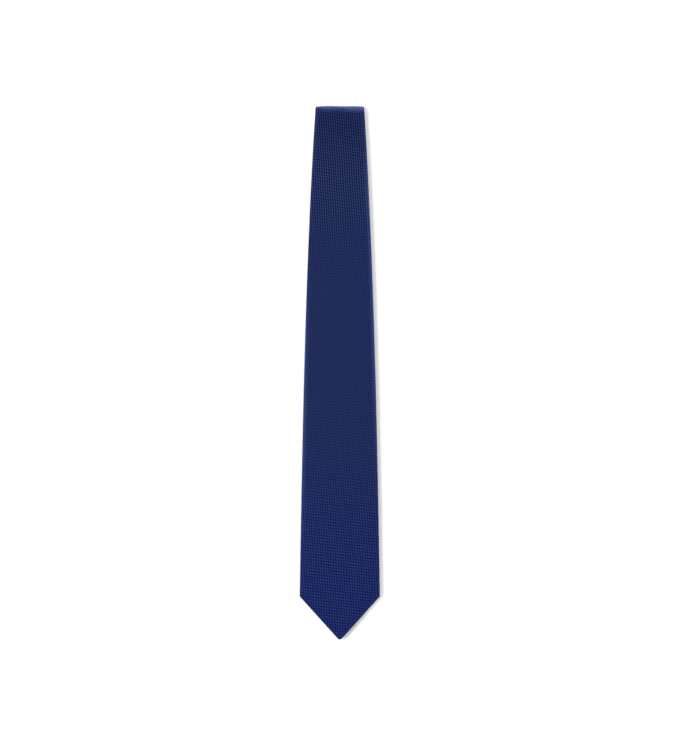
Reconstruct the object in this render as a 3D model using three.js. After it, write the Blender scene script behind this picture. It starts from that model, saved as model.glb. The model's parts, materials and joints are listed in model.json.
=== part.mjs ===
// A man's silk necktie, folded in three and lying face up. Millimetres, +Z up.
//
// The tie is one long strip. A silk envelope of three panels is wrapped round a wool interlining, and
// its two edges meet along the middle of the back, where a slip stitch holds them. From the point of the
// wide blade the strip runs toward +Y, turns back under itself at the top fold, runs toward -Y, turns
// again at the bottom fold and runs toward +Y to the point of the tail, which lies on the table.
//
// A place on the tie is (x, s, n): x across the strip, s along the middle of the cloth from the blade's
// point, and n out of the middle of the interlining, toward the face of the silk.
import * as THREE from 'three';

// ---- Driving dimensions ----
const tieLength = 1480;        // point to point, along the middle of the cloth
const foldedLength = 532;      // the blade's point to the outside of the top fold
const overhang = 34;           // the blade's point to the outside of the bottom fold

const blade = {
  width: 80,                   // at the shoulders of the point
  point: 43,                   // length of the point
  blunt: 2.4,                  // width of the very end
  hem: 9,                      // silk turned in along the point
  tack: 115,                   // from the point to where the back's two edges meet
};
const tail = { width: 40, point: 20, blunt: 3, hem: 6, tack: 70, flare: 300 };
const topFoldWidth = 48.4;     // width where the strip turns at the top fold
const evenTaper = 16;          // how much of the blade's narrowing is even along it
const lateTaperPower = 2.9;    // the rest comes late, as this power of the distance
const neckWidth = 34;

const silk = 0.4;              // thicknesses of the cloths
const wool = 1.3;
const satin = 0.2;
const plyGap = 0.1;            // between two plies that lie on each other
const sideGap = 0.6;           // inside the rolled edges, round the interlining
const edgeRoll = 0.9;          // the rolled edge, outside
const seamHalfGap = 0.3;       // half of the slit down the back

const backRoom = 2.2;          // between the blade's back and the neck's back, where the keeper is
const faceRoom = 0.5;          // between the neck's face and the tail's face
const cutGap = 0.1;            // between two stretches of one strip that meet end to end

const frontJoin = 240;         // past the top fold, where the front panel ends
const tailJoin = 60;           // past the bottom fold, where the neck panel ends
const joinGap = 0.5;           // the seam between two panels
const thread = 0.3;

const keeper = { from: 240, height: 14, span: 46, foot: 4, band: 0.6, room: 0.6, tack: 1 };
const label = { from: 290, height: 24, span: 36, thickness: 0.3, inset: 1.6 };
const tipping = { inset: 4, front: 150, tail: 95 };
const woolInset = 3;           // from each point to the end of the interlining
const barTackSize = { length: 2, fromSlit: 5 };

const straightStep = 60;       // longest stretch between two sections on a straight
const foldSteps = 12;          // sections round a fold

// ---- Levels through the cloth, and the path of the strip ----
const faceSide = wool / 2 + plyGap + silk;
const backSide = -(wool / 2 + 2 * plyGap + satin + silk);

const tailLevel = -backSide;
const neckLevel = tailLevel + 2 * faceSide + faceRoom;
const bladeLevel = neckLevel - 2 * backSide + backRoom;

const topFold = { radius: (bladeLevel - neckLevel) / 2, level: (bladeLevel + neckLevel) / 2 };
topFold.y = foldedLength / 2 - topFold.radius - faceSide;
topFold.start = topFold.y + foldedLength / 2;
topFold.end = topFold.start + Math.PI * topFold.radius;

const bottomFold = { radius: (neckLevel - tailLevel) / 2, level: (neckLevel + tailLevel) / 2 };
bottomFold.y = -foldedLength / 2 + overhang + bottomFold.radius - backSide;
bottomFold.start = topFold.end + topFold.y - bottomFold.y;
bottomFold.end = bottomFold.start + Math.PI * bottomFold.radius;

function place(x, s, n) {
  if (s <= topFold.start) return [x, s - foldedLength / 2, bladeLevel + n];
  if (s < topFold.end) {
    const turn = (s - topFold.start) / topFold.radius;
    const reach = topFold.radius + n;
    return [x, topFold.y + reach * Math.sin(turn), topFold.level + reach * Math.cos(turn)];
  }
  if (s <= bottomFold.start) return [x, topFold.y - (s - topFold.end), neckLevel - n];
  if (s < bottomFold.end) {
    const turn = (s - bottomFold.start) / bottomFold.radius;
    const reach = bottomFold.radius - n;
    return [x, bottomFold.y - reach * Math.sin(turn), bottomFold.level + reach * Math.cos(turn)];
  }
  return [x, bottomFold.y + (s - bottomFold.end), tailLevel + n];
}

// ---- Outline ----
const tailShoulder = tieLength - tail.point;

function smooth(t) {
  const u = Math.min(Math.max(t, 0), 1);
  return u * u * (3 - 2 * u);
}

function pointWidth(end, distance) {
  return end.blunt + (end.width - end.blunt) * distance / end.point;
}

function halfWidth(s) {
  if (s < blade.point) return pointWidth(blade, s) / 2;
  if (s > tailShoulder) return pointWidth(tail, tieLength - s) / 2;
  const run = foldedLength - blade.point;
  const late = blade.width - evenTaper - topFoldWidth;
  if (s < foldedLength) {
    const t = (s - blade.point) / run;
    return (blade.width - evenTaper * t - late * t ** lateTaperPower) / 2;
  }
  const slope = (evenTaper + late * lateTaperPower) / run;
  const spare = topFoldWidth - neckWidth;
  const neck = neckWidth + spare * Math.exp(-(s - foldedLength) * slope / spare);
  const flare = smooth((s - tailShoulder + tail.flare) / tail.flare);
  return (neck + (tail.width - neck) * flare) / 2;
}

// Half of the opening down the back. It spreads into a kite between the bar tack and the point.
function sideHem(end) {
  return end.hem * Math.hypot(1, (end.width - end.blunt) / 2 / end.point);
}

function halfOpening(s) {
  const end = s < tieLength / 2 ? blade : tail;
  const distance = Math.min(s, tieLength - s);
  const widest = end.width / 2 - sideHem(end);
  const closing = widest * (end.tack - distance) / (end.tack - end.point);
  return Math.max(seamHalfGap, Math.min(halfWidth(s) - sideHem(end), closing));
}

// Where the opening's outline has a corner, counted from the end's point.
function openingCorners(end) {
  const slope = (end.width - end.blunt) / 2 / end.point;
  const hemEnd = (seamHalfGap + sideHem(end) - end.blunt / 2) / slope;
  const widest = end.width / 2 - sideHem(end);
  const slitStart = end.tack - (end.tack - end.point) * seamHalfGap / widest;
  return [hemEnd, end.point, slitStart];
}

// ---- Joins between the panels ----
// They are cut at 45 degrees. The slant fades out over leanRun on both sides, and the sections between
// are square.
const joins = [topFold.end + frontJoin, bottomFold.end + tailJoin];
const leanRun = neckWidth;

function bias(s) {
  const near = Math.min(...joins.map((join) => Math.abs(s - join)));
  return Math.max(0, 1 - (near - joinGap / 2) / leanRun);
}

// Places where every ply has a section, so that the plies' straight stretches run side by side.
const grid = Array.from({ length: Math.ceil(tieLength / straightStep) }, (_, k) => k * straightStep);
const shared = [
  ...grid,
  ...openingCorners(blade),
  ...openingCorners(tail).map((distance) => tieLength - distance),
  ...joins.flatMap((join) => [join - joinGap / 2 - leanRun, join, join + joinGap / 2 + leanRun]),
];

// ---- Sections across the strip, each a list of [x, n] that runs anticlockwise ----
function mirrored(rightSide) {
  const leftSide = rightSide.map(([x, n]) => [-x, n]).reverse();
  return [...rightSide, ...leftSide];
}

// The silk, in a C round the interlining, open at the back.
function envelope(s) {
  const half = halfWidth(s);
  const open = halfOpening(s);
  const roll = edgeRoll - silk;
  const outside = mirrored([
    [open, backSide],
    [half - edgeRoll, backSide],
    [half, backSide + edgeRoll],
    [half, faceSide - edgeRoll],
    [half - edgeRoll, faceSide],
  ]);
  const inside = mirrored([
    [open, backSide + silk],
    [half - silk - roll, backSide + silk],
    [half - silk, backSide + silk + roll],
    [half - silk, faceSide - silk - roll],
    [half - silk - roll, faceSide - silk],
  ]);
  return [...outside, ...inside.reverse()];
}

function plate(half, low, high) {
  return mirrored([[half, low], [half, high]]);
}

function interlining(s) {
  return plate(halfWidth(s) - silk - sideGap, -wool / 2, wool / 2);
}

function tippingSection(s) {
  const high = -wool / 2 - plyGap;
  return plate(halfWidth(s) - silk - sideGap, high - satin, high);
}

function slipStitch() {
  const low = backSide + (silk - thread) / 2;
  return plate(thread / 2, low, low + thread);
}

function barTack(s) {
  const low = backSide + (silk - thread) / 2;
  return plate(halfOpening(s) - plyGap, low, low + thread);
}

// The keeper is a band across the back, with a foot at each end and room for the tail under it.
const keeperTop = backSide - plyGap;
const keeperLow = keeperTop - keeper.room - keeper.band;

function keeperBand() {
  const half = keeper.span / 2;
  const inner = half - keeper.foot;
  return mirrored([[half, keeperLow], [half, keeperTop], [inner, keeperTop], [inner, keeperTop - keeper.room]]);
}

function offset(section, x) {
  return section.map(([across, n]) => [across + x, n]);
}

function keeperTack(side) {
  const half = keeper.span / 2 + plyGap + keeper.tack / 2;
  return () => offset(plate(keeper.tack / 2, keeperLow, keeperTop), side * half);
}

const labelTop = backSide - plyGap;
const labelLow = labelTop - label.thickness;

function labelStitch(side) {
  const row = label.span / 2 - label.inset;
  return () => offset(plate(thread / 2, labelLow - plyGap - thread, labelLow - plyGap), side * row);
}

// ---- Solids ----
// Where sections stand between two places on the strip.
function isTurning(s) {
  return [topFold, bottomFold].some((fold) => s > fold.start && s < fold.end);
}

function stations(from, to) {
  const inside = shared.filter((s) => s > from && s < to && !isTurning(s));
  const marks = [from, ...inside, to].sort((a, b) => a - b);
  const all = [from];
  for (let i = 1; i < marks.length; i += 1) {
    const gap = marks[i] - marks[i - 1];
    const steps = isTurning(marks[i - 1] + gap / 2) ? foldSteps : 1;
    for (let k = 1; k <= steps; k += 1) all.push(marks[i - 1] + gap * k / steps);
  }
  return all;
}

// Skins a section along the strip. slant(s) is how far the cut leans along s for each mm across, and a
// leaning section takes its width from where its edges come to lie.
function loft(from, to, section, slant = () => 0) {
  const rings = stations(from, to).map((s) => {
    const lean = slant(s);
    return section(s).map(([across], i) => {
      const [x, n] = section(s + lean * across)[i];
      return place(x, s + lean * x, n);
    });
  });
  const size = rings[0].length;
  const triangles = [];
  for (let k = 1; k < rings.length; k += 1) {
    for (let i = 0; i < size; i += 1) {
      const j = (i + 1) % size;
      const [a, b] = [(k - 1) * size + i, (k - 1) * size + j];
      triangles.push(a, b + size, b, a, a + size, b + size);
    }
  }
  for (const [k, s] of [[0, from], [rings.length - 1, to]]) {
    const outline = section(s).map(([x, n]) => new THREE.Vector2(x, n));
    for (const [a, b, c] of THREE.ShapeUtils.triangulateShape(outline, [])) {
      const area = outline[b].clone().sub(outline[a]).cross(outline[c].clone().sub(outline[a]));
      const outward = (area > 0) === (k === 0) ? [a, b, c] : [a, c, b];
      triangles.push(...outward.map((i) => k * size + i));
    }
  }
  const geometry = new THREE.BufferGeometry();
  geometry.setAttribute('position', new THREE.Float32BufferAttribute(rings.flat(2), 3));
  geometry.setIndex(triangles);
  geometry.computeVertexNormals();
  return geometry;
}

// ---- Materials ----
function cloth(color, roughness) {
  return new THREE.MeshStandardMaterial({ color, roughness, metalness: 0 });
}

const silkCloth = cloth(0x202c59, 0.55);
const woolCloth = cloth(0xd9d2c2, 0.95);
const satinCloth = cloth(0x1c2550, 0.4);
const silkThread = cloth(0x28356a, 0.6);
const labelCloth = cloth(0x232b4d, 0.6);

// ---- The tie ----
const tie = new THREE.Group();

function add(name, material, geometry) {
  const mesh = new THREE.Mesh(geometry, material);
  mesh.name = name;
  tie.add(mesh);
}

// The stretches of the strip: a blade, a fold, the neck, a fold, the tail.
const stretches = [
  { name: 'front', from: 0, to: topFold.start - cutGap / 2 },
  { name: 'top_fold', from: topFold.start + cutGap / 2, to: topFold.end - cutGap / 2 },
  { name: 'neck', from: topFold.end + cutGap / 2, to: bottomFold.start - cutGap / 2 },
  { name: 'bottom_fold', from: bottomFold.start + cutGap / 2, to: bottomFold.end - cutGap / 2 },
  { name: 'tail', from: bottomFold.end + cutGap / 2, to: tieLength },
];

function panel(name, from, to) {
  add(name, silkCloth, loft(from, to, envelope, bias));
}

function joinSeam(name, join) {
  const half = joinGap / 2 - plyGap;
  add(name, silkThread, loft(join - half, join + half, envelope, () => 1));
}

panel('front_panel', stretches[0].from, stretches[0].to);
panel('front_panel_top_fold', stretches[1].from, stretches[1].to);
panel('front_panel_end', stretches[2].from, joins[0] - joinGap / 2);
joinSeam('front_join_seam', joins[0]);
panel('neck_panel', joins[0] + joinGap / 2, stretches[2].to);
panel('neck_panel_bottom_fold', stretches[3].from, stretches[3].to);
panel('neck_panel_end', stretches[4].from, joins[1] - joinGap / 2);
joinSeam('tail_join_seam', joins[1]);
panel('tail_panel', joins[1] + joinGap / 2, stretches[4].to);

for (const { name, from, to } of stretches) {
  const [woolFrom, woolTo] = [Math.max(from, woolInset), Math.min(to, tieLength - woolInset)];
  add(`interlining_${name}`, woolCloth, loft(woolFrom, woolTo, interlining));
  const [sewnFrom, sewnTo] = [Math.max(from, blade.tack), Math.min(to, tieLength - tail.tack)];
  add(`slip_stitch_${name}`, silkThread, loft(sewnFrom, sewnTo, slipStitch));
}

add('front_tipping', satinCloth, loft(tipping.inset, tipping.front, tippingSection));
add('tail_tipping', satinCloth, loft(tieLength - tipping.tail, tieLength - tipping.inset, tippingSection));

// The bar tacks hold the two edges together where the back opens.
const frontTack = blade.tack - barTackSize.fromSlit;
const tailTack = tieLength - tail.tack + barTackSize.fromSlit;
add('front_bar_tack', silkThread, loft(frontTack - barTackSize.length, frontTack, barTack));
add('tail_bar_tack', silkThread, loft(tailTack, tailTack + barTackSize.length, barTack));

const keeperTo = keeper.from + keeper.height;
add('keeper_loop', silkCloth, loft(keeper.from, keeperTo, keeperBand));
add('care_label', labelCloth,
  loft(label.from, label.from + label.height, () => plate(label.span / 2, labelLow, labelTop)));
for (const [name, side] of [['left', -1], ['right', 1]]) {
  add(`keeper_tack_${name}`, silkThread, loft(keeper.from, keeperTo, keeperTack(side)));
  add(`label_stitch_${name}`, silkThread,
    loft(label.from + label.inset, label.from + label.height - label.inset, labelStitch(side)));
}

export default tie;
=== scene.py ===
"""A man's woven silk necktie, folded in three and lying face up.

A place on the tie is (x, s, n), in millimetres: x across the strip, s along the middle of the cloth from
the blade's point, and n out of the middle of the strip, toward the face of the silk. Every piece is
shaped there, and place() lays it along the path that the CAD model takes.
"""
import json
import math

import bpy
import numpy as np
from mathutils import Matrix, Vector


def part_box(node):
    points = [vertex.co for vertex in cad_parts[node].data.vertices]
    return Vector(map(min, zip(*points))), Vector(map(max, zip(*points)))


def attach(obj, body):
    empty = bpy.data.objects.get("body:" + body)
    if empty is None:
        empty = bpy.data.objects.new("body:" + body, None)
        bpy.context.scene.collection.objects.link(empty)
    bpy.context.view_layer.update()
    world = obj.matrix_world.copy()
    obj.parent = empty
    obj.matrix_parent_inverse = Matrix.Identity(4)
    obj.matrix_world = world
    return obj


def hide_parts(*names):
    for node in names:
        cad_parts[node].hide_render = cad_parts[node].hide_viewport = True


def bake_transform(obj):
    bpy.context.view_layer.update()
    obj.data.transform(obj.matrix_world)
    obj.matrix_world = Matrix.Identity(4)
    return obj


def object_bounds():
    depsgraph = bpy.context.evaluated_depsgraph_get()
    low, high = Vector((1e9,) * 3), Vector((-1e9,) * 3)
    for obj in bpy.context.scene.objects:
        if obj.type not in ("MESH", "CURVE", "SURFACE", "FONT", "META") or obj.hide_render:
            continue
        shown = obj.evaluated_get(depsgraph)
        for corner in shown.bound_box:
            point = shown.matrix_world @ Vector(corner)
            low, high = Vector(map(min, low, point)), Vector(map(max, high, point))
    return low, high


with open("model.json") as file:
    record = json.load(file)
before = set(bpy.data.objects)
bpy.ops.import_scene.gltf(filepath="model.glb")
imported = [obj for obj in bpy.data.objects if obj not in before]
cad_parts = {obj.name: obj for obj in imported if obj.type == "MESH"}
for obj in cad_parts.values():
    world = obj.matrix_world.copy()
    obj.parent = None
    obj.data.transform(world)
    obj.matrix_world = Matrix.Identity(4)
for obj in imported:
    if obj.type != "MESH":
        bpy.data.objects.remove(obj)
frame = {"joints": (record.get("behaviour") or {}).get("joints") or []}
cad_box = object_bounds()

MM = 0.001  # metres in a millimetre


# ---- The path of the strip, from the frame ----
def node_box(node):
    low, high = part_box(node)
    return np.array(low) / MM, np.array(high) / MM


def middle_level(node):
    low, high = node_box(node)
    return (low[2] + high[2]) / 2


blade_low, blade_high = node_box("front_panel")
tail_low, tail_high = node_box("tail_panel")
hinges = {joint["name"]: np.array(joint["pos_m"]) / MM for joint in frame["joints"]}

BLADE_LEVEL = middle_level("interlining_front")
NECK_LEVEL = middle_level("interlining_neck")
TAIL_LEVEL = middle_level("interlining_tail")
FACE_SIDE = blade_high[2] - BLADE_LEVEL
BACK_SIDE = BLADE_LEVEL - blade_low[2]
POINT_Y = blade_low[1]


class Fold:
    """Where the strip turns back: a half circle about the joint's axis, from one level to another."""

    def __init__(self, joint, upper, lower):
        self.y, self.level = hinges[joint][1:]
        self.upper, self.lower = upper, lower
        self.radius = (upper - lower) / 2

    def begin(self, start):
        """Sets where along the strip the bend starts, and so where it ends."""
        self.start = start
        self.end = start + math.pi * self.radius


TOP = Fold("top_fold", BLADE_LEVEL, NECK_LEVEL)
BOTTOM = Fold("bottom_fold", NECK_LEVEL, TAIL_LEVEL)
TOP.begin(TOP.y - POINT_Y)
BOTTOM.begin(TOP.end + TOP.y - BOTTOM.y)
LENGTH = BOTTOM.end + tail_high[1] - BOTTOM.y


def place(x, s, n):
    """The points of the strip, in metres, as rows."""
    x, s, n = np.broadcast_arrays(np.asarray(x, float), s, n)
    top_turn = (s - TOP.start) / TOP.radius
    bottom_turn = (s - BOTTOM.start) / BOTTOM.radius
    top_reach, bottom_reach = TOP.radius + n, BOTTOM.radius - n
    where = [s <= TOP.start, s < TOP.end, s <= BOTTOM.start, s < BOTTOM.end]
    y = np.select(
        where,
        [
            POINT_Y + s,
            TOP.y + top_reach * np.sin(top_turn),
            TOP.y - (s - TOP.end),
            BOTTOM.y - bottom_reach * np.sin(bottom_turn),
        ],
        BOTTOM.y + s - BOTTOM.end,
    )
    z = np.select(
        where,
        [
            BLADE_LEVEL + n,
            TOP.level + top_reach * np.cos(top_turn),
            NECK_LEVEL - n,
            BOTTOM.level + bottom_reach * np.cos(bottom_turn),
        ],
        TAIL_LEVEL + n,
    )
    return np.stack([x, y, z], axis=-1).reshape(-1, 3) * MM


# ---- The outline of the strip ----
BLADE_WIDTH = blade_high[0] - blade_low[0]
TAIL_WIDTH = tail_high[0] - tail_low[0]
NECK_WIDTH = 34.0
TOP_FOLD_WIDTH = 48.4
EVEN_TAPER = 16.0  # how much of the blade's narrowing is even along it
LATE_TAPER_POWER = 2.9  # the rest comes late, as this power of the distance
BLADE_POINT, TAIL_POINT = 43.0, 20.0
BLADE_BLUNT, TAIL_BLUNT = 2.4, 3.0  # width of the very end of each point, before it is rounded
TAIL_FLARE = 300.0  # over this length the neck widens into the tail
BLADE_SLOPE = (BLADE_WIDTH - BLADE_BLUNT) / 2 / BLADE_POINT
TAIL_SLOPE = (TAIL_WIDTH - TAIL_BLUNT) / 2 / TAIL_POINT
FOLDED_LENGTH = TOP.y + TOP.radius + FACE_SIDE - POINT_Y
SHOULDER_SOFT = 0.25  # how softly the point's edge meets the side
LEAST_HALF = 0.02  # the strip never gets narrower than this on each side
STEEPEST = 6.0  # the edge's slope is taken as no more than this, at the rounded end of a point


def smooth(t):
    u = np.clip(t, 0, 1)
    return u * u * (3 - 2 * u)


def softer_least(a, b, soft):
    """The smaller of two lengths, with the corner where they cross rounded off."""
    return np.minimum(a, b) - soft * np.exp(-np.abs(a - b) / soft) * math.log(2)


def side_half(s):
    """Half the width between the shoulders of the two points: it narrows late, and flares into the tail."""
    run = FOLDED_LENGTH - BLADE_POINT
    late = BLADE_WIDTH - EVEN_TAPER - TOP_FOLD_WIDTH
    t = np.clip((s - BLADE_POINT) / run, 0, 1)
    blade = BLADE_WIDTH - EVEN_TAPER * t - late * t**LATE_TAPER_POWER
    slope = (EVEN_TAPER + late * LATE_TAPER_POWER) / run
    spare = TOP_FOLD_WIDTH - NECK_WIDTH
    past = np.maximum(s - FOLDED_LENGTH, 0)
    neck = NECK_WIDTH + spare * np.exp(-past * slope / spare)
    flare = smooth((s - LENGTH + TAIL_POINT + TAIL_FLARE) / TAIL_FLARE)
    neck = neck + (TAIL_WIDTH - neck) * flare
    return np.where(s < FOLDED_LENGTH, blade, neck) / 2


def point_half(distance, width, point, blunt):
    """Half the width near a point, by the distance from its end: a rounded end and two straight sides."""
    slope = (width - blunt) / 2 / point
    radius = blunt / 2 / (math.hypot(1, slope) - slope)  # of the arc that meets both sides and the very end
    rounded = np.sqrt(np.maximum(2 * radius * distance - distance**2, 0))
    tangent = radius * (1 - slope / math.hypot(1, slope))
    return np.where(distance < tangent, rounded, blunt / 2 + slope * distance)


def half_width(s):
    front = point_half(np.maximum(s, 0), BLADE_WIDTH, BLADE_POINT, BLADE_BLUNT)
    rear = point_half(np.maximum(LENGTH - s, 0), TAIL_WIDTH, TAIL_POINT, TAIL_BLUNT)
    side = side_half(s)
    half = softer_least(side, front, SHOULDER_SOFT)
    return np.maximum(softer_least(half, rear, SHOULDER_SOFT), LEAST_HALF)


def half_slope(s):
    step = 0.02
    return (half_width(s + step) - half_width(s - step)) / (2 * step)


def edge_factor(s):
    """How much further it is to the edge straight across than square to it."""
    return np.hypot(1, np.clip(half_slope(s), -STEEPEST, STEEPEST))


# ---- The back's opening: a slit that spreads into a kite between each bar tack and point ----
SLIT = 0.05  # half of the slit
BLADE_HEM, TAIL_HEM = 9.0, 6.0  # silk turned in along the point
BLADE_TACK, TAIL_TACK = 111.5, 66.5  # from each point to where the slit begins
KITE_SOFT = 1.2  # how softly the kite's corners are rounded
KITE_FADE = 20.0  # past the tack by this much, only the slit is left


def kite(distance, half, width, point, blunt, hem, tack):
    """Half the opening near a point, by the distance from its end."""
    side_hem = hem * math.hypot(1, (width - blunt) / 2 / point)
    widest = width / 2 - side_hem
    closing = widest * (tack - distance) / (tack - point)
    opening = softer_least(half - side_hem, closing, KITE_SOFT)
    return np.where(distance < tack + KITE_FADE, opening, 0)


def half_opening(s):
    half = half_width(s)
    front = kite(s, half, BLADE_WIDTH, BLADE_POINT, BLADE_BLUNT, BLADE_HEM, BLADE_TACK)
    rear = kite(LENGTH - s, half, TAIL_WIDTH, TAIL_POINT, TAIL_BLUNT, TAIL_HEM, TAIL_TACK)
    slit = np.minimum(SLIT, half * 0.3)
    return np.maximum(slit, np.maximum(front, rear))


# ---- Levels of the plies ----
SILK, SATIN = 0.4, 0.2
THICK = (FACE_SIDE + BACK_SIDE) / 2  # half of the whole thickness
MIDDLE = (FACE_SIDE - BACK_SIDE) / 2  # n half way through it
ROLL = 2.0  # width of the rolled edge
CROWN_RUN = 11.0  # the face falls over this distance toward the edges
CROWN_SHARE = 0.42  # and by this share of half the thickness
FOLD_DIP = 0.32  # how far the face sinks just before the top fold
BACK_FLATTER = 0.13  # how much less the back swells
HEM_FULLER = 0.12  # and how much of that its edges along the opening make up for
WAVES = (  # slow unevenness of the laid cloth: height, wave numbers across and along, and phase
    (0.075, 0.043, 0.021, 0.4),
    (0.055, -0.071, 0.034, 1.9),
    (0.045, 0.024, 0.063, 4.1),
    (0.03, 0.11, -0.052, 2.7),
)


def swell(distance, shrink=0.0):
    """Half the thickness at a distance from the edge, for a surface that lies shrink further in."""
    run = ROLL - shrink
    round_edge = np.sqrt(np.maximum(1 - (1 - np.clip(distance / run, 0, 1)) ** 2, 0))
    crown = 1 - CROWN_SHARE * (1 - np.clip((distance + shrink) / CROWN_RUN, 0, 1)) ** 2
    return (THICK * crown - shrink) * round_edge


def ripple(x, s):
    """The height of the laid cloth's waves, which on the whole sink it a little."""
    total = sum(height * np.sin(2 * (x * a + s * b) + phase) for height, a, b, phase in WAVES)
    return 0.8 * (total - 0.12)


def face_height(x, s, distance, shrink=0.0):
    """n of the face: crowned, a little uneven, and lower from 10 mm before the top fold to 4 mm past it."""
    past = s - TOP.start
    dip = FOLD_DIP * smooth((past + 10) / 11) * (1 - smooth((past - 1.5) / 2.6))
    return MIDDLE + swell(distance, shrink) + ripple(x, s) * smooth(distance / 8) - dip


def back_height(x, s, distance, shrink=0.0):
    """n of the back: flatter than the face, and a little fuller at the edges of the opening."""
    from_opening = np.maximum(np.abs(x) - half_opening(s), 0)
    hem = HEM_FULLER * np.exp(-from_opening / 2.5)
    return MIDDLE - swell(distance, shrink) + (BACK_FLATTER - hem) * smooth(distance / 3)


# ---- Building meshes ----
def new_object(name, points, faces, cloth=None, sharp=False):
    mesh = bpy.data.meshes.new(name)
    mesh.from_pydata(np.asarray(points).tolist(), [], faces)
    mesh.validate(clean_customdata=False)
    if cloth is not None:
        where = mesh.attributes.new("cloth", "FLOAT_VECTOR", "POINT")
        where.data.foreach_set("vector", np.asarray(cloth, np.float32).ravel())
    if not sharp:
        mesh.shade_smooth()
    obj = bpy.data.objects.new(name, mesh)
    bpy.context.scene.collection.objects.link(obj)
    return obj


def ring_faces(rings, size, closed_ends=True):
    """Quads between neighbouring closed rings, wound to face outward, and the two end faces."""
    k, i = np.meshgrid(np.arange(rings - 1), np.arange(size), indexing="ij")
    j = (i + 1) % size
    quads = np.stack([k * size + i, (k + 1) * size + i, (k + 1) * size + j, k * size + j], axis=-1)
    faces = quads.reshape(-1, 4).tolist()
    if closed_ends:
        faces.append(list(range(size)))
        faces.append([(rings - 1) * size + m for m in reversed(range(size))])
    return faces


def shell_faces(rings, size):
    """As ring_faces, for rings that run round the outside and then back along the inside."""
    faces = ring_faces(rings, size, closed_ends=False)
    half = size // 2
    for base, flip in ((0, False), ((rings - 1) * size, True)):
        for m in range(half - 1):
            quad = [base + m, base + m + 1, base + size - 2 - m, base + size - 1 - m]
            faces.append(quad[::-1] if flip else quad)
    return faces


def stations(start, end, step, extra=()):
    """Places for the rings, closer together at the points and round the folds."""
    marks = {start, end, *extra}
    even = np.arange(start, end, step)
    marks.update(even)
    for near, far in ((0, 50), (LENGTH - 26, LENGTH)):
        marks.update(np.arange(near, far, step / 2))
    for shoulder, before, after in ((BLADE_POINT, 9, 5), (LENGTH - TAIL_POINT, 4, 6)):
        marks.update(np.arange(shoulder - before, shoulder + after, 0.6))
    close = [0.03, 0.12, 0.3, 0.55, 0.85, 1.15, 1.5, 1.9, 2.4, 3, 3.7, 4.5, 5.4, 6.5]
    marks.update(close)
    marks.update(LENGTH - d for d in close)
    for fold in (TOP, BOTTOM):
        marks.update(np.linspace(fold.start, fold.end, 25))
    found = sorted(s for s in marks if start <= s <= end)
    kept = [found[0]]
    for s in found[1:]:
        if s - kept[-1] > 0.055:
            kept.append(s)
    return np.array(kept)


# ---- The silk envelope ----
# Where the points of a quarter ring lie, from its rolled edge on.
ROLL_OFFSETS = ROLL * (1 - np.cos(np.radians([0, 18, 34, 50, 66, 82])))
FACE_SHARES = np.linspace(0, 1, 17)[1:] ** 0.9
FLAP_SHARES = np.linspace(0, 1, 11)[1:-1]
FLAP_EDGE = np.array([0.4, 0.14, 0.04, 0.0])
LIP = 0.2  # over this width the cut edge at the opening is rounded


def silk_width(s, zone, edge):
    """Distances from the middle of a ring's points, for a surface that lies edge inside the outer one."""
    factor = edge_factor(s)
    half = np.maximum(half_width(s) - edge * factor, 0.01)
    opening = np.minimum(half_opening(s), half * 0.8)
    room = half - (opening if zone == "flap" else 0)
    shrink = np.clip(room / (ROLL * factor * 2.2), 0, 1)
    rolled = ROLL_OFFSETS * factor * shrink * (1 - edge / ROLL)
    last = rolled[:, -1:]
    if zone == "face":
        rest = last + (room - last) * FACE_SHARES
    else:
        end = FLAP_EDGE * np.clip(room / 4, 0.02, 1)
        rest = np.hstack([last + (room - end[:, :1] - last) * FLAP_SHARES, room - end])
    return half - np.hstack([rolled, rest])


def turned_under(x, s):
    """The cloth's own place for a point of the back: its mirror image about the nearest straight edge."""
    step = 0.5
    edges = (
        (side_half(s), (side_half(s + step) - side_half(s - step)) / (2 * step)),
        (BLADE_BLUNT / 2 + BLADE_SLOPE * s, BLADE_SLOPE),
        (TAIL_BLUNT / 2 + TAIL_SLOPE * (LENGTH - s), -TAIL_SLOPE),
    )
    best, u, v = None, None, None
    for half, slope in edges:
        factor = np.hypot(1, slope)
        distance = np.maximum((half - x) / factor, 0)
        image_u = x + 2 * distance / factor
        image_v = s - 2 * distance * slope / factor
        if best is None:
            best, u, v = distance, image_u, image_v
        else:
            nearer = distance < best
            u, v = np.where(nearer, image_u, u), np.where(nearer, image_v, v)
            best = np.minimum(best, distance)
    return u, v


def silk_side(s, lean, side, zone, inner):
    """A quarter of each ring, from the rolled edge to the middle: x, s, n and the cloth's own u and v."""
    edge = SILK if inner else 0.0
    across = silk_width(s[:, None], zone, edge)
    at = s[:, None] + lean[:, None] * across * side
    for _ in range(2):  # the width where a leaning ring comes to lie
        columns = [silk_width(at[:, [i]], zone, edge)[:, i] for i in range(across.shape[1])]
        across = np.stack(columns, axis=1)
        at = s[:, None] + lean[:, None] * across * side
    factor = edge_factor(at)
    outline = half_width(at)
    distance = np.maximum((outline - across) / factor - edge, 0)
    x = side * across
    if zone == "face":
        return x, at, face_height(x, at, distance, edge), x, at
    lip = np.clip((across - half_opening(at)) / LIP, 0, 1)
    rounding = 0.95 * SILK / 2 * (1 - np.sqrt(np.maximum(1 - (1 - lip) ** 2, 0)))
    n = back_height(x, at, distance, edge) + (-rounding if inner else rounding)
    u, v = turned_under(across, at)
    return x, at, n, side * u, v


NARROWER = 0.117  # how much the weave has narrowed at the top fold, where the cloth was pulled longer
LONGER = 0.056  # and how much longer it has become there


def weave_place(u, v):
    """The cloth's own coordinates, stretched along the blade as bias-cut cloth stretches."""
    t = np.clip(v / FOLDED_LENGTH, 0, 1)
    return u * (1 + NARROWER * t), v - LONGER * FOLDED_LENGTH * t**2 / 2


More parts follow.
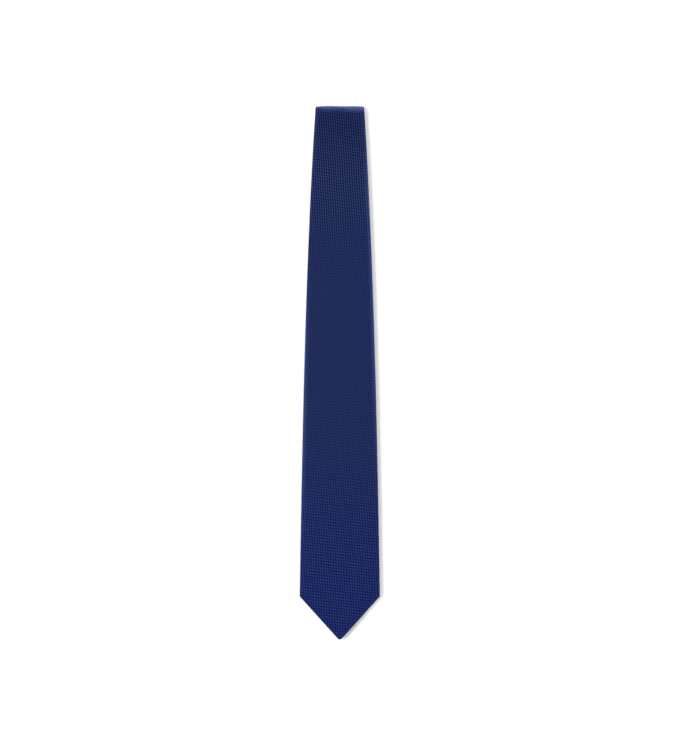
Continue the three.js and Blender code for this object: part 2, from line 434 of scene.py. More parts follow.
def silk_surface(s, lean, inner):
    """The rings' points on the outside or the inside of the silk: right flap, face, left flap."""
    quarters = [
        silk_side(s, lean, side, zone, inner)
        for side, zone in ((1, "flap"), (1, "face"), (-1, "face"), (-1, "flap"))
    ]
    surface = []
    for right_flap, right_face, left_face, left_flap in zip(*quarters):
        parts = [right_flap[:, ::-1], right_face[:, 1:], left_face[:, -2::-1], left_flap[:, 1:]]
        surface.append(np.hstack(parts))
    return surface


def silk_rings(s, lean, turned_in):
    """All the points of the envelope's rings: along the outside, then back along the inside."""
    outside = silk_surface(s, lean, inner=False)
    inside = [rows[:, ::-1] for rows in silk_surface(s, lean, inner=True)]
    x, at, n, u, v = (np.hstack(pair) for pair in zip(outside, inside))
    is_inside = np.arange(x.shape[1]) >= outside[0].shape[1]
    # The silk turns in at a join between two panels, by this share of the half thickness.
    pull = turned_in[:, None] * np.where(is_inside, 0.2, 1)
    n = MIDDLE + (n - MIDDLE) * (1 - pull)
    # At a point the inside stops short of the outside.
    short = SILK * 1.15
    at = at + np.where(is_inside, short * np.exp(-s[:, None] / 3), 0)
    at = at - np.where(is_inside, short * np.exp(-(LENGTH - s[:, None]) / 3), 0)
    return x, at, n, u, v


# The joins between the panels are cut at 45 degrees, and the slant fades out over LEAN_RUN on both sides.
JOIN_FRONT = TOP.end + 240.0
JOIN_TAIL = BOTTOM.end + 60.0
LEAN_RUN = NECK_WIDTH
JOIN_GAP = 0.12  # between the two panels
JOIN_DIP = 0.32  # how far the silk turns in there, as a share of the half thickness
JOIN_DIP_RUN = 0.35  # and over what distance


def join_distance(s):
    return np.minimum(np.abs(s - JOIN_FRONT), np.abs(s - JOIN_TAIL))


# Painted highlight along the edges. The left and the right side get the most of it at places of their own.
LEFT_PEAK, LEFT_RUN = 225.0, 60.0  # where along the strip, and over what distance it comes and goes
RIGHT_PEAK, RIGHT_RUN = 330.0, 75.0
EDGE_SPREAD = 1.9  # how far in from an edge the painted highlight shows
RIGHT_MORE = 1.1  # and how much further on the right, toward the top fold
RIGHT_MORE_START, RIGHT_MORE_RUN = 370.0, 90.0
SIDE_HIGHLIGHT, SIDE_SWING = 0.44, 0.38  # how strong it is, and how much that comes and goes
HIDDEN_LESS = 0.7  # the layers past the top fold get less painted highlight, by this share


def painted_highlight_share(x, s):
    """How much painted highlight the silk gets, from 0 to 1: along the sides and at the top fold."""
    distance = np.maximum((half_width(s) - np.abs(x)) / edge_factor(s), 0)
    left_swing = np.cos((s - LEFT_PEAK) / LEFT_RUN)
    right_swing = np.cos((s - RIGHT_PEAK) / RIGHT_RUN)
    spread = EDGE_SPREAD + RIGHT_MORE * smooth(x) * smooth((s - RIGHT_MORE_START) / RIGHT_MORE_RUN)
    sides = np.exp(-((distance / spread) ** 2))
    sides = sides * (SIDE_HIGHLIGHT + SIDE_SWING * np.where(x < 0, left_swing, right_swing))
    sides = sides * (1 - HIDDEN_LESS * smooth((s - TOP.end) / 20))
    # The band across the fold is wider on the right, and weaker at the left end.
    past = s - TOP.start
    begins = smooth((past + 1.8 + 2.2 * smooth((x - 3) / 12)) / 4.5)
    fold = begins * (1 - smooth((past - 2.1) / 2.3))
    fold = fold * (0.45 + 0.6 * smooth((x + TOP_FOLD_WIDTH / 2) / 9))
    return np.clip(np.maximum(sides, fold), 0, 1)


def make_panel(name, start, end, step=3.5):
    """One panel of the envelope, as a closed shell. Returns it and each point's place along the strip."""
    extra = []
    for join in (JOIN_FRONT, JOIN_TAIL):
        extra += [join + side * d for side in (-1, 1) for d in (0.06, 0.2, 0.4, 0.7, 1.1, 1.6)]
    s = stations(start, end, step, extra)
    near = join_distance(s)
    lean = np.clip(1 - near / LEAN_RUN, 0, 1)
    x, at, n, u, v = silk_rings(s, lean, JOIN_DIP * np.exp(-near / JOIN_DIP_RUN))
    size = x.shape[1]
    # The cloth's third value is the share of painted highlight on the silk's colour.
    cloth = np.stack([*weave_place(u, v), painted_highlight_share(x, at)], axis=-1).reshape(-1, 3)
    obj = new_object(name, place(x, at, n), shell_faces(len(s), size), cloth)
    return obj, np.repeat(s, size)


def bend(obj):
    """Bakes the piece's place into its mesh; it is tied to no body and does not turn with a fold."""
    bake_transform(obj)


# ---- Flat plies inside: interlining and tipping ----
def make_ply(name, start, end, step, inset, top, bottom, across=14):
    """A ply between two surfaces, whose n top and bottom give from x, s and the distance from the edge.

    Returns it and each point's place along the strip.
    """
    s = stations(start, end, step)
    shares = np.sin(np.linspace(-1, 1, across) * math.pi / 2)
    half = np.maximum(half_width(s) - inset * edge_factor(s), 0.3)[:, None]
    at = np.repeat(s[:, None], across, axis=1)
    x = half * shares
    distance = np.maximum((half_width(at) - np.abs(x)) / edge_factor(at), 0)
    low, high = bottom(x, at, distance), top(x, at, distance)
    x = np.hstack([x, x[:, ::-1]])
    n = np.hstack([low, high[:, ::-1]])
    at = np.hstack([at, at])
    cloth = np.stack([x, at, np.zeros_like(x)], axis=-1).reshape(-1, 3)
    obj = new_object(name, place(x, at, n), ring_faces(len(s), 2 * across), cloth)
    return obj, at.ravel()


FACE_GAP = 0.05  # between the silk of the face and the wool
BACK_GAP = 0.1  # between the silk of the back and the satin
WOOL_SATIN_GAP = 0.04
PUCKER = 0.05  # height of the satin's small waves


def wool_top(x, s, distance):
    return face_height(x, s, np.maximum(distance - SILK, 0), SILK) - FACE_GAP


def lining_low(x, s, distance):
    pucker = PUCKER * np.sin(x * 0.9 + 2 * np.sin(s * 0.11)) * smooth(distance / 6)
    return back_height(x, s, np.maximum(distance - SILK, 0), SILK) + BACK_GAP + pucker


def lining_top(x, s, distance):
    return lining_low(x, s, distance) + SATIN


def wool_low(x, s, distance):
    return lining_top(x, s, distance) + WOOL_SATIN_GAP


# ---- Threads ----
THIN_END = 0.35  # a thread's width at both ends, as a share of the rest
STITCH_REACH = 0.5  # how far the slip stitch goes to each side of the slit
STITCH_DEPTH = 0.24  # how far it lies under the surface, give or take STITCH_RISE
STITCH_RISE = 0.08
BINDING_PLACE = 0.35  # where a tack's two binding threads lie, as a share of its reach


def tube(points, radius, sides):
    """Rings round a line of (x, s, n) points, thin at both ends: their places and the thread's own."""
    line = np.asarray(points, float)
    along = np.gradient(line, axis=0)
    along /= np.maximum(np.linalg.norm(along, axis=1, keepdims=True), 1e-9)
    up = np.array([0, 0, 1.0])
    side = np.cross(along, up)
    flat = np.linalg.norm(side, axis=1, keepdims=True)
    side = np.where(flat > 1e-3, side / np.maximum(flat, 1e-9), [1.0, 0, 0])
    rise = np.cross(side, along)
    angle = np.linspace(0, 2 * math.pi, sides, endpoint=False)
    width = np.full(len(line), radius)
    width[[0, -1]] *= THIN_END
    sideways = np.cos(angle)[None, :, None] * side[:, None]
    upward = np.sin(angle)[None, :, None] * rise[:, None]
    ring = line[:, None] + width[:, None, None] * (sideways + upward)
    run = np.concatenate([[0], np.cumsum(np.linalg.norm(np.diff(line, axis=0), axis=1))])
    own = np.zeros_like(ring)
    own[:, :, 0] = angle / (2 * math.pi)
    own[:, :, 1] = run[:, None]
    return ring, own


def make_threads(name, lines, radius, sides=6):
    """Several lines of thread as one object. Returns it and each point's place along the strip."""
    places, owns, faces = [], [], []
    for line in lines:
        ring, own = tube(line, radius, sides)
        offset = sum(len(p) for p in places)
        faces += [[offset + i for i in face] for face in ring_faces(len(ring), sides)]
        places.append(ring.reshape(-1, 3))
        owns.append(own.reshape(-1, 3))
    local, own = np.vstack(places), np.vstack(owns)
    obj = new_object(name, place(local[:, 0], local[:, 1], local[:, 2]), faces, own)
    return obj, local[:, 1]


def back_at(x, s):
    """n of the back's outer surface."""
    x, s = np.broadcast_arrays(np.asarray(x, float), np.asarray(s, float))
    distance = np.maximum((half_width(s) - np.abs(x)) / edge_factor(s), 0)
    return back_height(x, s, distance)


def slip_stitch_line(start, end, pitch=7.0):
    """One thread that crosses the slit from side to side, just under the cloth's surface."""
    s = np.arange(start, end, pitch / 14)
    phase = (s - start) / pitch * 2 * math.pi
    x = STITCH_REACH * np.clip(1.6 * np.sin(phase), -1, 1)
    n = back_at(x, s) + STITCH_DEPTH - STITCH_RISE * np.cos(2 * phase)
    return np.stack([x, s, n], axis=-1)


def tack_lines(s_from, s_to, count, reach, proud, over):
    """Wraps of thread across the slit, side by side, and two that pass over and bind them.

    reach is half a wrap's length, proud how far it stands off the back and over how much more the two do.
    """
    lines = []
    turn = np.linspace(-1, 1, 15)
    for s in np.linspace(s_from, s_to, count):
        x = turn * reach
        n = back_at(np.abs(x) + 0.6, s) - proud * (1 - turn**6) + 0.15 * np.abs(turn) ** 8
        lines.append(np.stack([x, s + 0.06 * np.sin(turn * 3 + s), n], axis=-1))
    bow = 1 - np.linspace(-1, 1, 12) ** 8
    s = np.linspace(s_from - 0.5, s_to + 0.5, len(bow))
    for x in (-reach * BINDING_PLACE, reach * BINDING_PLACE):
        n = back_at(abs(x) + 0.6, s) - proud - over * bow
        lines.append(np.stack([np.full(len(bow), x), s, n], axis=-1))
    return lines


# ---- Procedural materials ----
class Nodes:
    """A material's node tree, with short calls for what the cloths share."""

    def __init__(self, name):
        self.material = bpy.data.materials.new(name)
        self.material.use_nodes = True
        self.tree = self.material.node_tree
        self.shader = self.tree.nodes["Principled BSDF"]

    def add(self, kind, **settings):
        node = self.tree.nodes.new(kind)
        for key, value in settings.items():
            setattr(node, key, value)
        return node

    def link(self, source, target):
        if isinstance(source, (int, float)):
            target.default_value = source
        else:
            self.tree.links.new(source, target)

    def math(self, operation, *values):
        node = self.add("ShaderNodeMath", operation=operation)
        for socket, value in zip(node.inputs, values):
            self.link(value, socket)
        return node.outputs[0]

    def cloth(self):
        """The cloth's own place: as a vector, then across, along and, on silk, the share of painted
        highlight.
        """
        where = self.add("ShaderNodeAttribute", attribute_name="cloth").outputs["Vector"]
        split = self.add("ShaderNodeSeparateXYZ")
        self.tree.links.new(where, split.inputs[0])
        return where, *split.outputs[:3]

    def along(self, u, v, a, b):
        """How far (u, v) lies along the direction (a, b)."""
        return self.math("ADD", self.math("MULTIPLY", u, a), self.math("MULTIPLY", v, b))

    def wave(self, value, turns=1.0):
        """A sine wave from 0 to 1."""
        angle = self.math("MULTIPLY", value, 2 * math.pi * turns)
        return self.math("MULTIPLY_ADD", self.math("SINE", angle), 0.5, 0.5)

    def noise(self, vector, scale, detail=3.0):
        node = self.add("ShaderNodeTexNoise")
        node.inputs["Scale"].default_value = scale
        node.inputs["Detail"].default_value = detail
        self.tree.links.new(vector, node.inputs["Vector"])
        return node.outputs["Fac"]

    def mix(self, share, a, b):
        node = self.add("ShaderNodeMix", data_type="RGBA")
        self.link(share, node.inputs[0])
        for socket, value in ((node.inputs[6], a), (node.inputs[7], b)):
            if isinstance(value, tuple):
                socket.default_value = (*value, 1)
            else:
                self.tree.links.new(value, socket)
        return node.outputs[2]

    def multiply(self, share, a, tint):
        """The color a, times the tint where share is 1."""
        node = self.add("ShaderNodeMix", data_type="RGBA", blend_type="MULTIPLY")
        self.link(share, node.inputs[0])
        self.tree.links.new(a, node.inputs[6])
        node.inputs[7].default_value = (*tint, 1)
        return node.outputs[2]

    def ramp(self, value, start, end):
        """From 0 at start to 1 at end, smoothly; start may be the larger."""
        node = self.add("ShaderNodeMapRange", interpolation_type="SMOOTHSTEP")
        self.link(value, node.inputs["Value"])
        node.inputs["From Min"].default_value = min(start, end)
        node.inputs["From Max"].default_value = max(start, end)
        if start > end:
            node.inputs["To Min"].default_value = 1
            node.inputs["To Max"].default_value = 0
        return node.outputs["Result"]

    def finish(self, color, roughness, height, depth, strength=1.0, **shader):
        if isinstance(color, tuple):
            self.shader.inputs["Base Color"].default_value = (*color, 1)
        else:
            self.tree.links.new(color, self.shader.inputs["Base Color"])
        self.link(roughness, self.shader.inputs["Roughness"])
        bump = self.add("ShaderNodeBump")
        bump.inputs["Strength"].default_value = strength
        bump.inputs["Distance"].default_value = depth * MM
        self.tree.links.new(height, bump.inputs["Height"])
        self.tree.links.new(bump.outputs[0], self.shader.inputs["Normal"])
        for name, value in shader.items():
            self.shader.inputs[name.replace("_", " ")].default_value = value
        return self.material


# The basket weave's cells, cut on the bias: each float crosses one cell, and four threads lie in it.
WARP_WAVE = (0.442, 0.383)  # cells per millimetre across and along the tie
WEFT_WAVE = (-0.358, 0.329)
THREADS = 4
COLUMNS = 0.45  # how much more of the light and dark lies in columns near the top fold
SWING_RUN, SWING_PEAK = 0.8, 0.9  # the contrast's period and where it is strongest, in folded lengths


def silk_material():
    g = Nodes("woven_silk")
    where, u, v, painted_highlight = g.cloth()
    drift = g.math("MULTIPLY_ADD", g.noise(where, 0.12, 2), 0.9, -0.45)
    u_drift = g.math("ADD", u, drift)
    p = g.along(u_drift, v, *WARP_WAVE)
    q = g.along(u_drift, v, *WEFT_WAVE)
    parity = g.math("ADD", g.math("FLOOR", p), g.math("FLOOR", q))
    is_weft = g.math("PINGPONG", parity, 1.0)
    p_in, q_in = g.math("FRACT", p), g.math("FRACT", q)

    def bow(value):  # a float bows up along its length
        return g.math("POWER", g.math("SINE", g.math("MULTIPLY", value, math.pi)), 0.6)

    def threads(value):  # and is made of threads side by side
        return g.wave(value, THREADS)

    warp = g.math("MULTIPLY_ADD", threads(q_in), 0.22, bow(p_in))
    weft = g.math("MULTIPLY_ADD", threads(p_in), 0.22, bow(q_in))
    is_warp = g.math("SUBTRACT", 1.0, is_weft)
    height = g.math("ADD", g.math("MULTIPLY", warp, is_warp), g.math("MULTIPLY", weft, is_weft))
    slub = g.noise(where, 1.7, 3)
    height = g.math("MULTIPLY_ADD", slub, 0.35, height)
    # The warp floats stand in columns, which catch the light a little along their whole length.
    column = g.wave(g.math("ADD", g.math("MULTIPLY", g.math("SUBTRACT", p, q), 0.5), 0.25))
    share = g.math("MULTIPLY_ADD", g.ramp(v, 0.2 * FOLDED_LENGTH, 0.8 * FOLDED_LENGTH), COLUMNS, 0.08)
    light = g.math("MULTIPLY_ADD", g.math("SUBTRACT", column, is_warp), share, is_warp)
    # Stretched cloth shows more of both threads, and the contrast comes and goes along the tie.
    swing = g.math("MULTIPLY_ADD", v, 1 / (SWING_RUN * FOLDED_LENGTH), 0.25 - SWING_PEAK / SWING_RUN)
    swing = g.wave(swing)
    contrast = g.math("MULTIPLY_ADD", swing, 0.46, 0.5)
    light = g.math("MULTIPLY_ADD", g.math("SUBTRACT", light, 0.5), contrast, 0.5)
    warp_color = g.mix(slub, (0.0122, 0.0203, 0.064), (0.0168, 0.0275, 0.079))
    weft_color = g.mix(slub, (0.0, 0.0004, 0.021), (0.0002, 0.0014, 0.029))
    color = g.mix(light, weft_color, warp_color)
    # Near the top fold, where the cloth is stretched the most, the floats stand out sharply.
    crisp = g.math(
        "MULTIPLY",
        g.ramp(v, 0.7 * FOLDED_LENGTH, 0.84 * FOLDED_LENGTH),
        g.ramp(v, 1.15 * FOLDED_LENGTH, FOLDED_LENGTH),
    )
    color = g.multiply(g.math("MULTIPLY", crisp, light), color, (1.7, 1.6, 1.35))
    dark = g.math("SUBTRACT", 1.0, light)
    color = g.multiply(g.math("MULTIPLY", crisp, dark), color, (0.1, 0.2, 0.55))
    # Painted shade: the colour darkens in the low places of the weave, where its bump is lowest.
    painted_hollow_shade = g.math("SUBTRACT", 1.0, g.math("MINIMUM", g.math("MULTIPLY", height, 1.3), 1.0))
    color = g.mix(g.math("MULTIPLY", painted_hollow_shade, 0.65), color, (0.001, 0.002, 0.012))
    cloudy = g.noise(where, 0.05, 2)
    color = g.mix(g.math("MULTIPLY", cloudy, 0.15), color, (0.006, 0.012, 0.048))
    # Painted light: the colour is bluer toward the point, standing in for how the light falls along the
    # blade.
    painted_light_gradient = g.ramp(v, 0.45 * FOLDED_LENGTH, 0.1 * FOLDED_LENGTH)
    color = g.multiply(painted_light_gradient, color, (0.88, 0.92, 1.3))
    # Painted shade: the colour is darker just before the top fold, where the cloth slopes away from the
    # light.
    painted_fold_shade = g.math(
        "MULTIPLY",
        g.ramp(v, 0.82 * FOLDED_LENGTH, 0.96 * FOLDED_LENGTH),
        g.ramp(v, 1.1 * FOLDED_LENGTH, FOLDED_LENGTH),
    )
    color = g.multiply(painted_fold_shade, color, (0.66, 0.66, 0.8))
    # Painted highlight: the colour is lighter round the edges and across the top fold, where light would
    # catch the silk.
    color = g.multiply(painted_highlight, color, (2.2, 2.2, 2.2))
    color = g.mix(g.math("MULTIPLY", painted_highlight, 0.16), color, (0.115, 0.147, 0.31))
    roughness = g.math("MULTIPLY_ADD", is_weft, 0.12, 0.42)
    return g.finish(
        color, roughness, height, 0.16, 0.75, Specular_IOR_Level=0.15,
        Specular_Tint=(0.13, 0.25, 0.85, 1), Sheen_Weight=0.035, Sheen_Roughness=0.3,
        Sheen_Tint=(0.36, 0.52, 1.0, 1),
    )


def thread_material():
    g = Nodes("sewing_thread")
    _, u, v, _ = g.cloth()
    twist = g.wave(g.math("ADD", u, g.math("MULTIPLY", v, 1.1)), 2.0)
    color = g.mix(twist, (0.008, 0.014, 0.055), (0.024, 0.04, 0.14))
    return g.finish(
        color, 0.45, twist, 0.05, 0.8, Specular_IOR_Level=0.2,
        Specular_Tint=(0.4, 0.5, 0.9, 1), Sheen_Weight=0.05,
    )


def wool_material():
    g = Nodes("napped_wool")
    where, u, v, _ = g.cloth()
    fibres = g.noise(where, 1.4, 6)
    ribs = g.math("MULTIPLY", g.wave(u, 0.8), g.wave(v, 0.8))
    color = g.mix(fibres, (0.5, 0.45, 0.36), (0.74, 0.69, 0.58))
    height = g.math("MULTIPLY_ADD", ribs, 0.5, fibres)
    return g.finish(color, 0.92, height, 0.25, 0.8, Sheen_Weight=0.3)


def satin_material():
    g = Nodes("satin_lining")
    where, u, v, _ = g.cloth()
    twill = g.wave(g.along(u, v, 1.1, 1.9))
    shade = g.noise(where, 0.3, 3)
    color = g.mix(shade, (0.0022, 0.0055, 0.03), (0.005, 0.0105, 0.05))
    color = g.mix(g.math("MULTIPLY", twill, 0.5), color, (0.0075, 0.0145, 0.062))
    roughness = g.math("MULTIPLY_ADD", shade, 0.14, 0.24)
    return g.finish(
        color, roughness, twill, 0.04, 0.5, Specular_IOR_Level=0.25,
        Specular_Tint=(0.35, 0.45, 0.9, 1), Sheen_Weight=0.03, Sheen_Roughness=0.3,
    )


def label_material():
    g = Nodes("woven_label")
    _, u, v, _ = g.cloth()
    ribs = g.wave(v, 2.4)
    weft = g.wave(u, 3.1)
    height = g.math("MULTIPLY_ADD", weft, 0.4, ribs)
    color = g.mix(height, (0.006, 0.0095, 0.032), (0.017, 0.025, 0.068))
    return g.finish(
        color, 0.55, height, 0.05, 0.7, Specular_IOR_Level=0.15,
        Specular_Tint=(0.5, 0.6, 0.9, 1), Sheen_Weight=0.05,
    )


def floor_material():
    g = Nodes("pale_floor")
    coordinates = g.add("ShaderNodeTexCoord").outputs["Object"]
    grain = g.noise(coordinates, 180.0, 2)
    return g.finish((0.9, 0.9, 0.9), 0.75, grain, 0.01, 0.15, Specular_IOR_Level=0.1)


silk_cloth = silk_material()
thread_cloth = thread_material()
wool_cloth = wool_material()
satin_cloth = satin_material()
label_cloth = label_material()


def finish_piece(obj, material, nodes):
    """Gives a piece its material and hides the CAD nodes it replaces."""
    obj.data.materials.append(material)
    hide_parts(*nodes)
    return obj


# ---- The pieces ----
# The envelope: three panels, of which two cross a fold.
TIP = 0.03  # the first and last rings lie this far from the very ends
FRONT_NODES = ["front_panel", "front_panel_top_fold", "front_panel_end"]
NECK_NODES = ["neck_panel", "neck_panel_bottom_fold", "neck_panel_end"]
for name, start, end, nodes in (
    ("front_panel_silk", TIP, JOIN_FRONT - JOIN_GAP / 2, FRONT_NODES),
    ("neck_panel_silk", JOIN_FRONT + JOIN_GAP / 2, JOIN_TAIL - JOIN_GAP / 2, NECK_NODES),
    ("tail_panel_silk", JOIN_TAIL + JOIN_GAP / 2, LENGTH - TIP, ["tail_panel"]),
):
    panel, along = make_panel(name, start, end)
    finish_piece(panel, silk_cloth, nodes)
    if start < TOP.start:
        bend(panel)
    elif start < BOTTOM.start:
        bend(panel)
    else:
        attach(panel, "tail_layer")

# The interlining: two lengths of wool that meet in the neck.
WOOL_JOIN = JOIN_FRONT + 90
WOOL_GAP = 0.1  # from the join to the end of each length
WOOL_SHORT = 3.0  # how far short of each point the wool stops
WOOL_INSET = 1.0  # and of each side
BLADE_WOOL_NODES = ["interlining_front", "interlining_top_fold", "interlining_neck"]
TAIL_WOOL_NODES = ["interlining_bottom_fold", "interlining_tail"]


def make_wool(name, start, end, nodes):
    wool, along = make_ply(name, start, end, 6, WOOL_INSET, wool_top, wool_low)
    return finish_piece(wool, wool_cloth, nodes), along


blade_wool, along = make_wool("blade_interlining", WOOL_SHORT, WOOL_JOIN - WOOL_GAP, BLADE_WOOL_NODES)
bend(blade_wool)
tail_wool, along = make_wool("tail_interlining", WOOL_JOIN + WOOL_GAP, LENGTH - WOOL_SHORT, TAIL_WOOL_NODES)
bend(tail_wool)

# The tipping: satin behind each point.
TIPPING_SHORT = 4.0  # how far short of each point the satin stops
BLADE_TIPPING, TAIL_TIPPING = 150.0, 95.0  # and how far from each point it reaches
for name, node, body, start, end in (
    ("front_tipping_satin", "front_tipping", "front_layer", TIPPING_SHORT, BLADE_TIPPING),
    ("tail_tipping_satin", "tail_tipping", "tail_layer", LENGTH - TAIL_TIPPING, LENGTH - TIPPING_SHORT),
):
    tipping, _ = make_ply(name, start, end, 2.5, WOOL_INSET, lining_top, lining_low, across=40)
    finish_piece(tipping, satin_cloth, [node])
    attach(tipping, body)

# The slip stitch, in two lengths of thread.
STITCH_RADIUS = 0.16
BLADE_STITCH_NODES = ["slip_stitch_front", "slip_stitch_top_fold", "slip_stitch_neck"]
TAIL_STITCH_NODES = ["slip_stitch_bottom_fold", "slip_stitch_tail"]
line = slip_stitch_line(BLADE_TACK, WOOL_JOIN)
stitch, along = make_threads("blade_slip_stitch", [line], STITCH_RADIUS)
finish_piece(stitch, thread_cloth, BLADE_STITCH_NODES)
bend(stitch)
line = slip_stitch_line(WOOL_JOIN, LENGTH - TAIL_TACK)
stitch, along = make_threads("tail_slip_stitch", [line], STITCH_RADIUS)
finish_piece(stitch, thread_cloth, TAIL_STITCH_NODES)
bend(stitch)

# The bar tacks, each where the kite closes into the slit.
lines = tack_lines(BLADE_TACK - 3.9, BLADE_TACK - 0.7, count=9, reach=3.6, proud=0.1, over=0.25)
tack, _ = make_threads("front_bar_tack_thread", lines, radius=0.19)
finish_piece(tack, thread_cloth, ["front_bar_tack"])
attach(tack, "front_layer")
tail_slit = LENGTH - TAIL_TACK
lines = tack_lines(tail_slit + 1.1, tail_slit + 3.5, count=8, reach=2.8, proud=-0.16, over=0.0)
tack, _ = make_threads("tail_bar_tack_thread", lines, radius=0.15)
finish_piece(tack, thread_cloth, ["tail_bar_tack"])
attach(tack, "tail_layer")

# The seams between the panels: one thread deep in each groove.
SEAM_DIP = 0.34  # how far the thread lies in, as a share of the half thickness
SEAM_RADIUS = 0.14


def seam_line(join):
    """A line round the outside of the strip, slanting as the join does and a little deeper."""
    x, at, n, _, _ = silk_rings(np.array([join]), np.ones(1), np.full(1, SEAM_DIP))
    outside = x.shape[1] // 2
    return np.stack([x[0, :outside], at[0, :outside], n[0, :outside]], axis=-1)


for name, node, body, join in (
    ("front_join_thread", "front_join_seam", "neck_layer", JOIN_FRONT),
    ("tail_join_thread", "tail_join_seam", "tail_layer", JOIN_TAIL),
):
    seam, _ = make_threads(name, [seam_line(join)], SEAM_RADIUS)
    finish_piece(seam, thread_cloth, [node])
    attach(seam, body)

# The keeper loop, a band of the same silk, and the tacks at its ends.
keeper_low, keeper_high = node_box("keeper_loop")
KEEPER_HALF = (keeper_high[0] - keeper_low[0]) / 2
KEEPER_FROM, KEEPER_TO = keeper_low[1] - POINT_Y, keeper_high[1] - POINT_Y
KEEPER_MIDDLE = (KEEPER_FROM + KEEPER_TO) / 2
KEEPER_THICK = 0.7
KEEPER_LIFT = 0.5  # how far the band stands off the back
CLEAR = 0.06  # between what lies on the back and the back itself


def keeper_level(x):
    """n of the middle of the band: down on the back at its ends, and lifted between them."""
    lift = KEEPER_LIFT * smooth((KEEPER_HALF - 2 - np.abs(x)) / 9)
    return back_at(x, KEEPER_MIDDLE) - KEEPER_THICK / 2 - CLEAR - lift


def make_keeper():
    """The band's rings are flat loops with rounded edges, a little narrower in the middle."""
    x = np.linspace(-KEEPER_HALF, KEEPER_HALF, 61)
    turn = np.linspace(-math.pi / 2, math.pi * 1.5, 48, endpoint=False)
    waist = 1 - 0.03 * np.cos(x / KEEPER_HALF * math.pi / 2)
    run = np.sign(np.cos(turn)) * np.abs(np.cos(turn)) ** 0.35
    rise = np.sign(np.sin(turn)) * np.abs(np.sin(turn)) ** 0.8
    s = KEEPER_MIDDLE + (KEEPER_TO - KEEPER_FROM) / 2 * waist[:, None] * run
    thick = KEEPER_THICK / 2 * np.clip((KEEPER_HALF - np.abs(x)) / 0.6 + 0.3, 0.3, 1)
    n = keeper_level(x)[:, None] - thick[:, None] * rise
    xs = np.repeat(x[:, None], len(turn), axis=1)
    steps = np.hypot(np.diff(s, axis=1), np.diff(n, axis=1))
    around = np.hstack([np.zeros((len(x), 1)), np.cumsum(steps, axis=1)])
    cloth = np.stack([xs, around, np.zeros_like(xs)], axis=-1).reshape(-1, 3)
    return new_object("keeper_band", place(xs, s, n), ring_faces(len(x), len(turn)), cloth)


keeper = finish_piece(make_keeper(), silk_cloth, ["keeper_loop"])
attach(keeper, "front_layer")


TACK_PITCH = 0.55
TACK_MARGIN = 0.75  # from the band's sides to the first and last turn
TACK_MIDDLE = 0.6  # from the band's end to the middle of the turns
TACK_REACH = 1.1  # how far each turn goes to both sides of that
TACK_SUNK = 0.15  # how far it goes into the back
TACK_PROUD = 0.1  # and how far it stands off the band


def keeper_tack_line(side):
    """A thread that goes over the band's end and into the back, again and again."""
    turns = int((KEEPER_TO - KEEPER_FROM - 2 * TACK_MARGIN) / TACK_PITCH)
    t = np.linspace(0, turns, turns * 10 + 1)
    outward = np.cos(2 * math.pi * t)
    x = side * (KEEPER_HALF - TACK_MIDDLE + TACK_REACH * outward)
    s = KEEPER_FROM + TACK_MARGIN + t * TACK_PITCH
    low = back_at(x, s) + TACK_SUNK
    high = keeper_level(np.full_like(x, side * (KEEPER_HALF - 1.5))) - KEEPER_THICK / 2 - TACK_PROUD
    n = low + (high - low) * smooth((1.1 - outward) / 1.6)
    return np.stack([x, s, n], axis=-1)


for name, side in (("left", -1), ("right", 1)):
    tack, _ = make_threads(f"keeper_tack_thread_{name}", [keeper_tack_line(side)], 0.17)
    finish_piece(tack, thread_cloth, [f"keeper_tack_{name}"])
    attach(tack, "front_layer")

# The care label, blank, with a row of stitches at each end.
label_low, label_high = node_box("care_label")
LABEL_HALF = (label_high[0] - label_low[0]) / 2
LABEL_FROM, LABEL_TO = label_low[1] - POINT_Y, label_high[1] - POINT_Y
LABEL_THICK = 0.26


def label_level(x, s):
    """n of the label's outer side: it bows up a little between its stitches."""
    across = 1 - (x / LABEL_HALF) ** 4
    ends = smooth((np.minimum(s - LABEL_FROM, LABEL_TO - s)) / 4)
    return back_at(x, s) - LABEL_THICK - CLEAR - 0.14 * across * (0.4 + 0.6 * ends)


def make_label():
    """A thin sheet, rounded off at its two ends."""
    x = np.linspace(-LABEL_HALF, LABEL_HALF, 49)
    s = np.linspace(LABEL_FROM, LABEL_TO, 25)
    xs, ss = np.meshgrid(x, s, indexing="ij")
    thinner = 0.12 * (1 - smooth((LABEL_HALF - np.abs(xs) - 0.2) / 0.5))
    outer = label_level(xs, ss) + thinner
    inner = label_level(xs, ss) + LABEL_THICK - thinner * 0.6
    x2, s2 = np.hstack([xs, xs[:, ::-1]]), np.hstack([ss, ss[:, ::-1]])
    n2 = np.hstack([inner, outer[:, ::-1]])
    cloth = np.stack([x2, s2, np.zeros_like(x2)], axis=-1).reshape(-1, 3)
    return new_object("blank_label", place(x2, s2, n2), ring_faces(len(x), 2 * len(s)), cloth)


label = finish_piece(make_label(), label_cloth, ["care_label"])
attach(label, "front_layer")


ROW_INSET = 1.6  # from the label's end to its row of stitches


def label_stitch_lines(side, stitch_length=2.0, gap=0.8):
    """A row of machine stitches, each a short thread that dips into the label at both ends."""
    lines = []
    t = np.linspace(0, 1, 9)
    x = np.full(len(t), side * (LABEL_HALF - ROW_INSET))
    s = LABEL_FROM + 1.4
    while s + stitch_length < LABEL_TO - 1:
        along = s + t * stitch_length
        n = label_level(x, along) - 0.12 + 0.25 * (2 * t - 1) ** 4
        lines.append(np.stack([x, along, n], axis=-1))
        s += stitch_length + gap
    return lines


for name, side in (("left", -1), ("right", 1)):
    row, _ = make_threads(f"label_thread_{name}", label_stitch_lines(side), 0.15)
    finish_piece(row, thread_cloth, [f"label_stitch_{name}"])
    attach(row, "front_layer")


# ---- The stage ----
FLOOR_HALF = 3.0
FLOOR_Z = -0.0001  # just under the tie


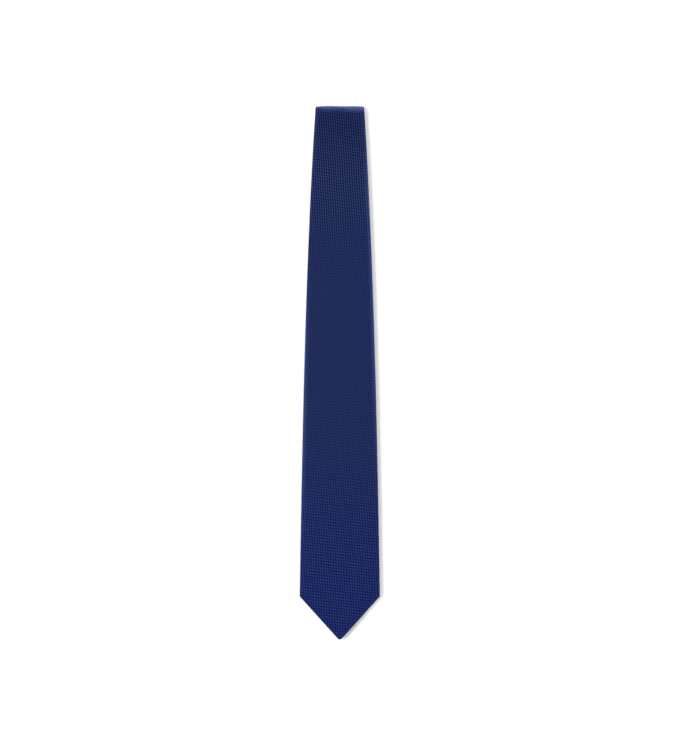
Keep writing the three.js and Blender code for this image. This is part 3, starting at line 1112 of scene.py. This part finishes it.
def make_floor():
    half = FLOOR_HALF
    corners = [(x, y, FLOOR_Z) for x, y in ((-half, -half), (half, -half), (half, half), (-half, half))]
    floor = new_object("floor", corners, [[0, 1, 2, 3]], sharp=True)
    floor.data.materials.append(floor_material())


def add_light(name, kind, energy):
    data = bpy.data.lights.new(name, kind)
    data.energy = energy
    light = bpy.data.objects.new(name, data)
    bpy.context.scene.collection.objects.link(light)
    return light


make_floor()

# The key light: a wide lamp above and to the left, whose soft shadow falls on the right.
KEY_WATTS = 46.0
KEY_SIZE = 1.05
KEY_PLACE = Vector((-1.1, -0.05, 2.1))
key = add_light("key", "AREA", KEY_WATTS)
key.data.size = KEY_SIZE
key.location = KEY_PLACE
key.rotation_euler = (-KEY_PLACE).to_track_quat("-Z", "Y").to_euler()

# The far light comes from low beyond the top fold and grazes the cloth.
FAR_STRENGTH = 6.2
FAR_SPREAD = math.radians(20)
FAR_TILT, FAR_TURN = math.radians(-82), math.radians(-25)
far = add_light("far_light", "SUN", FAR_STRENGTH)
far.data.angle = FAR_SPREAD
far.rotation_euler = (FAR_TILT, 0, FAR_TURN)

SKY_STRENGTH = 0.72
world = bpy.data.worlds.new("studio")
world.use_nodes = True
color, strength = world.node_tree.nodes["Background"].inputs[:2]
color.default_value = (1, 1, 1, 1)
strength.default_value = SKY_STRENGTH
bpy.context.scene.world = world
bpy.context.scene.view_settings.view_transform = "Standard"

# The camera looks straight down through a long lens, with the point of the blade below.
CAMERA_HEIGHT = 2.5
VIEW_HEIGHT = 0.7530  # what the picture's height covers at the blade's face
VIEW_X, VIEW_Y = 0.0002, -0.0053  # the point under its middle
camera_data = bpy.data.cameras.new("camera")
camera_data.sensor_width = 36.0
camera_data.lens = camera_data.sensor_width * CAMERA_HEIGHT / VIEW_HEIGHT
camera_data.clip_end = 20
camera = bpy.data.objects.new("camera", camera_data)
camera.location = (VIEW_X, VIEW_Y, cad_box[1][2] + CAMERA_HEIGHT)
bpy.context.scene.collection.objects.link(camera)
bpy.context.scene.camera = camera
